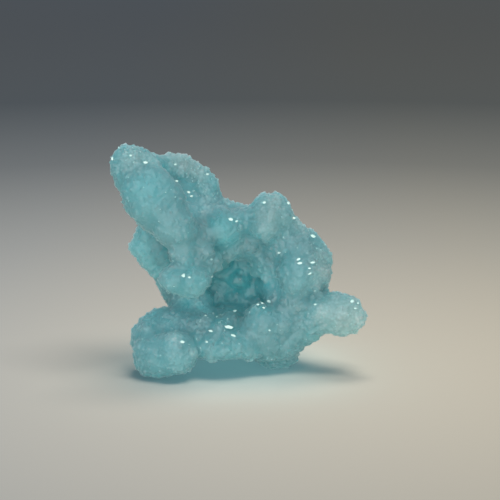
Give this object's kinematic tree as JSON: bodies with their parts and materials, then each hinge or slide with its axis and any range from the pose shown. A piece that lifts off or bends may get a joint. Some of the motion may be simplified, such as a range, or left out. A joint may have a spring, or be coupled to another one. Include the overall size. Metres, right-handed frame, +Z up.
{
  "type": "mineral specimen",
  "caption": "Free-standing botryoidal smithsonite specimen: a knobbly blue-green crust with a horn, a round knob, a pointing arm and a central hollow.",
  "frame": {"origin": "on the ground under the middle of the specimen's box", "axes": "+X to the right across the front, from the horn's side to the arm, +Y from the front with the hollow to the back, +Z up from the feet"},
  "size_m": [0.0394, 0.0233, 0.0362],
  "materials": {
    "smithsonite": "translucent blue-green carbonate with a frosted, sparkling skin of tiny crystals"
  },
  "bodies": {
    "root": {"smithsonite_crust": "smithsonite"}
  },
  "joints": []
}
